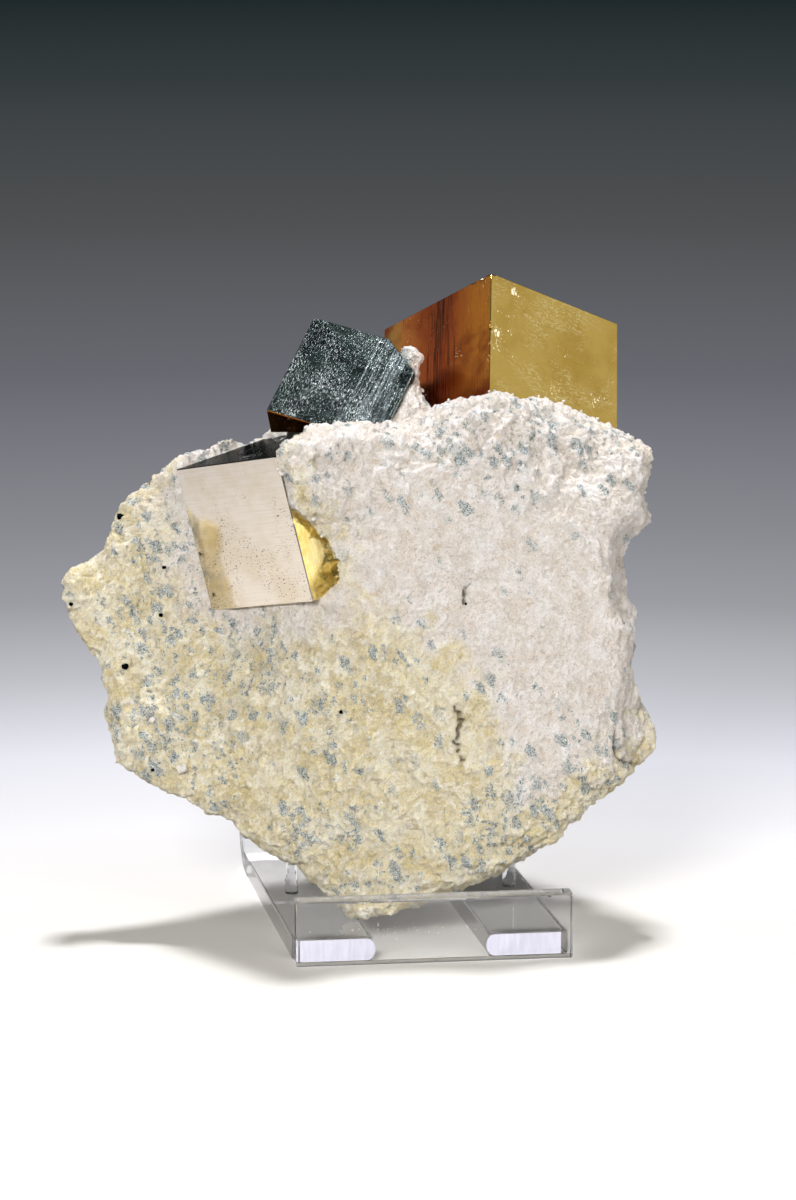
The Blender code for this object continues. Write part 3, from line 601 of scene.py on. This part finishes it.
def pyriteMaterial(name, crystal, look):
    # Natural pyrite face: a dull mirror whose growth lines and tarnish break up what it shows
    material, tree, shader = newMaterial(name)
    place = addNode(tree, "ShaderNodeTexCoord").outputs["Object"]
    local = addNode(tree, "ShaderNodeMapping", {
        "Vector": place, "Location": specimenFrame @ (Vector(crystal["middle"]) * mm),
        "Rotation": crystalTurn(crystal).to_euler(), "Scale": (mm,) * 3}, vector_type="TEXTURE").outputs[0]
    edges = addNode(tree, "ShaderNodeSeparateXYZ", {0: local})
    if "across" in look:
        # Tarnish colours along one edge, with wavy borders
        axis, stops = look["across"]
        reach = crystal["size"][axis] / 2.0
        waves = cloud(tree, local, 0.25, 3.0, stretch=(1.0, 1.0, 0.3))
        wander = addNode(tree, "ShaderNodeMath", {0: waves, 1: 5.0, 2: edges.outputs[axis]},
                         operation="MULTIPLY_ADD")
        share = addNode(tree, "ShaderNodeMapRange", {"Value": wander.outputs[0], "From Min": 2.5 - reach,
                                                     "From Max": 2.5 + reach})
        colour = addNode(tree, "ShaderNodeValToRGB", {"Fac": share.outputs[0]}, stops=stops)
        colour = colour.outputs["Color"]
    else:
        colour = linear(look["colour"])
    blotches = cloud(tree, local, look["blotch"], 5.0, 0.6)
    colour = layColour(tree, colour, look["second"], blotches, 0.42, 0.64)
    ripple = cloud(tree, local, 1.0, 5.0, 0.6, look["rippleScale"], 1.6)
    normal = addNode(tree, "ShaderNodeBump", {"Height": ripple, "Strength": look["ripple"],
                                              "Distance": pyriteRelief["ripple"] * mm}).outputs[0]
    if look["crest"]:
        # Thin crests where the ripple noise passes its middle value
        crest = addNode(tree, "ShaderNodeMath", {0: ripple, 1: 0.5, 2: 0.018}, operation="COMPARE")
        stretches = cloud(tree, local, 0.16, 3.0)
        colour = layColour(tree, colour, look["crestColour"], stretches, 0.42, 0.60, look["crest"],
                           within=crest.outputs[0])
    if look["streak"]:
        # Growth lines, thick in the band and sparse outside it
        lines = cloud(tree, local, 1.0, 4.0, 0.7, look["streakScale"])
        axis, middle, width = look["band"]
        far = addNode(tree, "ShaderNodeMath", {0: edges.outputs[axis], 1: middle}, operation="SUBTRACT")
        far = addNode(tree, "ShaderNodeMath", {0: far.outputs[0]}, operation="ABSOLUTE")
        least = addNode(tree, "ShaderNodeMapRange", {
            "Value": far.outputs[0], "From Min": 1.6 * width, "From Max": 0.2 * width, "To Min": 0.60,
            "To Max": 0.47}, interpolation_type="SMOOTHSTEP")
        over = addNode(tree, "ShaderNodeMath", {0: lines, 1: least.outputs[0]}, operation="SUBTRACT")
        colour = layColour(tree, colour, look["streakColour"], over.outputs[0], 0.0, 0.09, look["streak"])
        normal = addNode(tree, "ShaderNodeBump", {"Height": lines, "Strength": 0.5 * look["streak"],
                                                  "Distance": pyriteRelief["streak"] * mm,
                                                  "Normal": normal}).outputs[0]
    if look["pit"]:
        # Etch pits of 0.2 mm, more and more toward the lower corner
        pits = cloud(tree, local, 3.6, 2.0, 0.8, (0.6, 1.0, 1.0))
        lower = addNode(tree, "ShaderNodeMath", {0: edges.outputs[0], 1: 0.5, 2: edges.outputs[1]},
                        operation="MULTIPLY_ADD")
        lower = addNode(tree, "ShaderNodeMapRange", {"Value": lower.outputs[0], "From Min": -3.0,
                                                     "From Max": 11.0, "To Min": -0.04, "To Max": 0.12})
        some = addNode(tree, "ShaderNodeMath", {0: cloud(tree, local, 0.16, 2.0), 1: lower.outputs[0]},
                       operation="ADD")
        some = addNode(tree, "ShaderNodeMapRange", {"Value": some.outputs[0], "From Min": 0.50,
                                                    "From Max": 0.60}, interpolation_type="SMOOTHSTEP")
        colour = layColour(tree, colour, look["pitColour"], pits, 0.60, 0.65, look["pit"],
                           within=some.outputs[0])
    shader.inputs["Metallic"].default_value = 1.0
    shader.inputs["Roughness"].default_value = look["roughness"]
    shader.inputs["Specular Tint"].default_value = linear(look.get("grazing", "FFFFFF"))
    if look["fleck"]:
        # Dull pale scratches and specks, in loose groups and about each scar
        specks = cloud(tree, local, 2.4, 5.0, 0.8, look.get("fleckStretch", (1.0, 1.0, 1.0)))
        groups = cloud(tree, local, 0.22, 4.0, 0.6)
        weight = look.get("grouping", 0.8)
        both = addNode(tree, "ShaderNodeMath", {0: groups, 1: weight, 2: specks}, operation="MULTIPLY_ADD")
        for scar, reach in look.get("scars", ()):
            away = addNode(tree, "ShaderNodeVectorMath", {0: local, 1: scar}, operation="DISTANCE")
            near = addNode(tree, "ShaderNodeMapRange", {"Value": away.outputs["Value"], "From Max": reach,
                                                        "To Min": 0.23, "To Max": 0.0})
            both = addNode(tree, "ShaderNodeMath", {0: both.outputs[0], 1: near.outputs[0]}, operation="ADD")
        low = 0.70 + 0.5 * weight - 0.14 * look["fleck"]
        dull = addNode(tree, "ShaderNodeMapRange", {
            "Value": both.outputs[0], "From Min": low, "From Max": low + look.get("crisp", 0.10),
            "To Max": 0.8}, interpolation_type="SMOOTHSTEP").outputs[0]
        colour = addNode(tree, "ShaderNodeMix", {0: dull, 6: colour, 7: linear(look["fleckColour"])},
                         data_type="RGBA").outputs[2]
        metal = addNode(tree, "ShaderNodeMath", {0: 1.0, 1: dull}, operation="SUBTRACT")
        tree.links.new(metal.outputs[0], shader.inputs["Metallic"])
        spread = addNode(tree, "ShaderNodeMapRange", {"Value": dull, "From Max": 0.8,
                                                      "To Min": look["roughness"], "To Max": 0.6})
        tree.links.new(spread.outputs[0], shader.inputs["Roughness"])
    tree.links.new(colour, shader.inputs["Base Color"])
    tree.links.new(normal, shader.inputs["Normal"])
    return material


# Grid of the fine crystal and its edge chips, in mm: step, distance of the first cut from the edge,
# how many swellings to a millimetre, their height, the height below which nothing breaks, and how far
# a chip goes in
chipLook = dict(step=0.5, margin=0.3, scale=0.6, swell=1.3, threshold=0.86, rough=0.35, deepest=0.45)


def buildCrystal(name, crystal):
    # The CAD crystal cut to a fine grid, with small chips along its edges
    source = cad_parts[name].data
    middle = specimenFrame @ (Vector(crystal["middle"]) * mm)
    toWorld = Matrix.Translation(middle) @ crystalTurn(crystal).to_4x4()
    bm = bmesh.new()
    bm.from_mesh(source)
    bmesh.ops.transform(bm, matrix=toWorld.inverted(), verts=bm.verts)
    half = [value / 2.0 for value in crystal["size"]]
    for axis in range(3):
        normal = Vector([1.0 if i == axis else 0.0 for i in range(3)])
        span = 2.0 * half[axis] - 2.0 * chipLook["margin"]
        count = int(span / chipLook["step"])
        for i in range(count + 1):
            spot = (-half[axis] + chipLook["margin"] + span * i / count) * mm
            geometry = bm.verts[:] + bm.edges[:] + bm.faces[:]
            bmesh.ops.bisect_plane(bm, geom=geometry, plane_co=normal * spot, plane_no=normal)
    chips = [(Vector([share * half[i] for i, share in enumerate(place)]), size)
             for place, size in crystal.get("chips", ())]
    broken = set()
    bm.verts.index_update()
    for vert in bm.verts:
        spot = vert.co / mm
        inside = sorted((half[i] - abs(spot[i]), i) for i in range(3))
        edgeAway = inside[1][0]
        rough = chipLook["rough"] * noise.noise(spot * 2.3)
        chip = chipLook["swell"] * noise.fractal(spot * chipLook["scale"], 1.0, 2.2, 3)
        chip += rough - chipLook["threshold"]
        for place, size in chips:
            chip = max(chip, size * (1.0 + rough) - (spot - place).length)
        if edgeAway < chip:
            deep = min(chip - edgeAway, chipLook["deepest"])
            for _, axis in inside[:2]:
                spot[axis] -= math.copysign(0.55 * deep, spot[axis])
            vert.co = spot * mm
            broken.add(vert.index)
    bm.normal_update()
    looks = faceLooks[name]
    used = []
    for look in list(looks.values()) + ["chipped"]:
        if look not in used:
            used.append(look)
    for face in bm.faces:
        sizes = [abs(value) for value in face.normal]
        axis = sizes.index(max(sizes))
        look = looks.get((axis, int(math.copysign(1, face.normal[axis]))), looks["rest"])
        if sum(vert.index in broken for vert in face.verts) * 2 > len(face.verts):
            look = "chipped"
        face.material_index = used.index(look)
    bmesh.ops.transform(bm, matrix=toWorld, verts=bm.verts)
    mesh = bpy.data.meshes.new(name + " fine")
    bm.to_mesh(mesh)
    bm.free()
    label = ", " + name.replace("pyrite_cube_", "")
    materials = [pyriteMaterial(pyriteLooks[look]["name"] + label, crystal, pyriteLooks[look])
                 for look in used]
    return mesh, materials


for nodeName, crystal in crystals.items():
    crystalMesh, crystalMaterials = buildCrystal(nodeName, crystal)
    addPiece(nodeName + "_fine", crystalMesh, crystalMaterials, [nodeName])
print("crystals built")


# Grains of pyrite that sit in the marl: place in the photo in pixels, size in mm
grains = [(121, 517, 0.9), (164, 567, 0.5), (161, 615, 0.5), (125, 666, 0.75), (153, 770, 0.45),
          (67, 619, 0.45), (341, 712, 0.4), (466, 604, 0.35), (268, 577, 0.35)]
paleGrains = [(182, 768, 1.3), (152, 720, 0.7)]
grainShape = dict(sides=(1.0, 0.9, 0.8), lift=0.12, bevel=0.05)      # shares of the grain's size
plainMarl = (0.85, 0.1, 0.0, 0.0)      # white share, flecks, hollow and crack of a small piece of marl


def photoRay(px, py):
    # From the camera through a pixel of the photo, in the world
    start = specimenFrame @ Vector((0.0, -cameraLook["distance"], 0.0))
    middle, scale = cameraLook["middlePixel"], cameraLook["slopePixels"]
    way = specimenFrame.to_3x3() @ Vector(((px - middle[0]) / scale, 1.0, (middle[1] - py) / scale))
    return start, way.normalized()


def plainZones(mesh):
    # The same share of white everywhere, for small pieces that wear the marl's material
    zones = mesh.attributes.new("marlZones", "FLOAT_COLOR", "POINT")
    zones.data.foreach_set("color", np.tile(plainMarl, len(mesh.vertices)))


def buildGrains(places, name, material, seed):
    draw = np.random.default_rng(seed)
    slab = meshTree(marlPiece.data)
    bm = bmesh.new()
    for px, py, size in places:
        start, way = photoRay(px, py)
        spot, normal, _, _ = slab.ray_cast(start, way)
        if spot is None:
            spot, normal, _, _ = slab.find_nearest(start + way * cameraLook["distance"])
        turn = Matrix.Rotation(draw.uniform(0.2, 1.3), 3, Vector(draw.normal(size=3)).normalized())
        made = bmesh.ops.create_cube(bm, size=1.0)["verts"]
        edges = list({edge for vert in made for edge in vert.link_edges})
        for vert in made:
            vert.co = turn @ (vert.co * Vector(grainShape["sides"])) * size * mm
            vert.co += spot + normal * size * grainShape["lift"] * mm
        bmesh.ops.bevel(bm, geom=edges, offset=grainShape["bevel"] * size * mm, segments=1, affect="EDGES")
    mesh = bpy.data.meshes.new(name)
    bm.to_mesh(mesh)
    bm.free()
    plainZones(mesh)
    addPiece(name, mesh, [material], ())


grainLook = dict(pyriteLooks["inkyPaintedDark"], name="pyrite, small dark grain", fleck=0.0, streak=0.0, roughness=0.5)
grainMaterial = pyriteMaterial(grainLook["name"], crystals["pyrite_cube_left"], grainLook)
buildGrains(grains, "pyrite_grains", grainMaterial, 5)
buildGrains(paleGrains, "weathered_grains", marl, 8)
print("grains built")


# Crumbs of marl along the crystals and on the ridges, and dust that has fallen on the stand's lip
crumbLook = dict(
    count=900,
    sizes=(0.10, 0.34),                  # radii in mm
    reach=1.7, gap=0.10,                 # farthest and nearest to a crystal in mm
    ridgeRise=0.25, ridgeFrom=15.0,      # a ridge faces up at least so much, above this z
    ridgeShare=0.25, elsewhere=0.01,     # chance of a crumb against the chance near a crystal
)
dustLook = dict(count=46, middle=(398.0, 930.0), spread=(34.0, 3.2), sizes=(0.06, 0.13))      # photo pixels


def scatterCrumbs(name, places, normals, sizes, draw):
    bm = bmesh.new()
    bmesh.ops.create_icosphere(bm, subdivisions=1, radius=1.0)
    ball = np.array([v.co[:] for v in bm.verts])
    sides = [[v.index for v in f.verts] for f in bm.faces]
    bm.free()
    verts, faces = [], []
    for place, normal in zip(places, normals):
        size = draw.uniform(*sizes) * draw.uniform(0.6, 1.3)
        uneven = draw.uniform(0.7, 1.25, size=(len(ball), 1))
        shape = ball * size * mm * uneven * draw.uniform(0.6, 1.2, size=3)
        base = len(verts)
        verts.extend((place + normal * size * 0.35 * mm + shape).tolist())
        faces.extend([[base + i for i in side] for side in sides])
    mesh = bpy.data.meshes.new(name)
    mesh.from_pydata(verts, [], faces)
    plainZones(mesh)
    addPiece(name, mesh, [marl], ())


def buildCrumbs():
    draw = np.random.default_rng(17)
    places, normals = vertexArrays(marlPiece.data)
    away, _ = closeToCrystals(places, crumbLook["reach"] * mm)
    spots = toSpecimen(places)
    near = (away < crumbLook["reach"] * mm) & (away > crumbLook["gap"] * mm)
    ridge = (normals[:, 2] > crumbLook["ridgeRise"]) & (spots[:, 2] > crumbLook["ridgeFrom"])
    chance = np.where(near, 1.0, 0.0) + np.where(ridge, crumbLook["ridgeShare"], 0.0)
    chance += crumbLook["elsewhere"]
    picked = draw.choice(len(places), crumbLook["count"], replace=False, p=chance / chance.sum())
    scatterCrumbs("marl_crumbs", places[picked], normals[picked], crumbLook["sizes"], draw)


def buildDust():
    draw = np.random.default_rng(23)
    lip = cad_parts["stand_lip"]
    tree = meshTree(lip.data, lip.matrix_world)
    found = [tree.ray_cast(*photoRay(*(draw.normal(size=2) * dustLook["spread"] + dustLook["middle"])))[:2]
             for _ in range(dustLook["count"])]
    found = [(np.array(spot), np.array(normal)) for spot, normal in found if spot is not None]
    spots, normals = zip(*found)
    scatterCrumbs("lip_dust", spots, normals, dustLook["sizes"], draw)


buildCrumbs()
buildDust()
print("crumbs and dust built")


# Clear stand. Scratches are to a metre along x, y and z; density is to a metre of way through it
acrylicLook = dict(colour="F7F8FA", roughness=0.03, ior=1.49, depthColour="CFCAC4", density=9.0,
                   scratches=(90.0, 400.0, 1400.0), scratchDepth=0.06)


def acrylicMaterial():
    # Cast acrylic sheet, polished: clear, with the hairline scratches of use and a faint warm depth
    material, tree, shader = newMaterial("acrylic, cast and polished")
    place = addNode(tree, "ShaderNodeTexCoord").outputs["Object"]
    lines = cloud(tree, place, 1.0, 3.0, 0.5, acrylicLook["scratches"])
    bump = addNode(tree, "ShaderNodeBump", {"Height": lines, "Strength": acrylicLook["scratchDepth"],
                                            "Distance": 0.1 * mm})
    shader.inputs["Base Color"].default_value = linear(acrylicLook["colour"])
    shader.inputs["Roughness"].default_value = acrylicLook["roughness"]
    shader.inputs["IOR"].default_value = acrylicLook["ior"]
    shader.inputs["Transmission Weight"].default_value = 1.0
    tree.links.new(bump.outputs[0], shader.inputs["Normal"])
    depth = addNode(tree, "ShaderNodeVolumeAbsorption", {"Color": linear(acrylicLook["depthColour"]),
                                                         "Density": acrylicLook["density"]})
    tree.links.new(depth.outputs[0], tree.nodes["Material Output"].inputs["Volume"])
    return material


def dressStand():
    acrylic = acrylicMaterial()
    for name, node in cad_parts.items():
        if not name.startswith("stand_"):
            continue
        if not node.material_slots:
            node.data.materials.append(acrylic)
        for place in node.material_slots:
            place.material = acrylic
        node.visible_shadow = False


# Cement between the lip and the arms' front ends, in mm: how far it runs past the arm's inner side and
# stays short of its outer side, the bulge of its round inner end, and what it leaves free of the gap
# and of the arm's height. Its strokes are to a metre along x, y and z
cementLook = dict(sides=(("stand_arm_left", 1.0), ("stand_arm_right", -1.0)), grow=0.35, shrink=1.0,
                  bulge=1.1, steps=10, skin=0.06, margin=0.1, tints=((0.3, "93909A"), (0.7, "A4A2AC")),
                  strokes=(1800.0, 300.0, 300.0), roughness=0.45)


def cementMaterial():
    # Solvent cement, set cloudy: the pale lavender patch that shows through the lip
    material, tree, shader = newMaterial("acrylic cement, set cloudy")
    place = addNode(tree, "ShaderNodeTexCoord").outputs["Object"]
    strokes = cloud(tree, place, 1.0, 4.0, 0.5, cementLook["strokes"])
    tint = addNode(tree, "ShaderNodeValToRGB", {"Fac": strokes}, stops=cementLook["tints"])
    tree.links.new(tint.outputs["Color"], shader.inputs["Base Color"])
    shader.inputs["Roughness"].default_value = cementLook["roughness"]
    return material


def buildCement():
    # Plates in the gap, laid along the lip's own back face, as the stand is turned a little
    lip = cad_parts["stand_lip"]
    turn = lip.matrix_world.to_3x3()
    behind = [face for face in lip.data.polygons if (turn @ face.normal).y > 0.5]
    back = max(behind, key=lambda face: face.area)
    out = (turn @ back.normal).normalized()
    start = lip.matrix_world @ back.center
    along = out.cross(Vector((0.0, 0.0, 1.0))).normalized()
    along *= math.copysign(1.0, along.x)
    skin, margin = cementLook["skin"] * mm, cementLook["margin"] * mm
    bm = bmesh.new()
    for name, way in cementLook["sides"]:
        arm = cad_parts[name]
        spots = [arm.matrix_world @ vert.co - start for vert in arm.data.vertices]
        gap = min(spot.dot(out) for spot in spots)
        ends = [spot for spot in spots if spot.dot(out) < gap + 0.5 * mm]
        low, high = min(s.z for s in ends) + margin, max(s.z for s in ends) - margin
        across = [s.dot(along) for s in ends]
        sides = sorted((min(across), max(across)), key=lambda x: -x * way)
        inner = sides[0] + way * cementLook["grow"] * mm
        outer = sides[1] + way * cementLook["shrink"] * mm
        shape = [(outer, high), (outer, low)]
        for i in range(cementLook["steps"] + 1):
            angle = math.pi * (i / cementLook["steps"] - 0.5)
            shape.append((inner - way * cementLook["bulge"] * mm * (1.0 - math.cos(angle)),
                          (low + high) / 2.0 + (high - low) / 2.0 * math.sin(angle)))
        rings = [[bm.verts.new(start + along * x + out * depth + Vector((0.0, 0.0, z))) for x, z in shape]
                 for depth in (skin, max(gap - skin, margin))]
        bm.faces.new(rings[0])
        bm.faces.new(rings[1][::-1])
        for i in range(len(shape)):
            j = (i + 1) % len(shape)
            bm.faces.new((rings[0][i], rings[0][j], rings[1][j], rings[1][i]))
    bmesh.ops.recalc_face_normals(bm, faces=bm.faces[:])
    mesh = bpy.data.meshes.new("stand cement")
    bm.to_mesh(mesh)
    bm.free()
    addPiece("stand_cement", mesh, [cementMaterial()], ())


dressStand()
buildCement()
print("stand dressed")
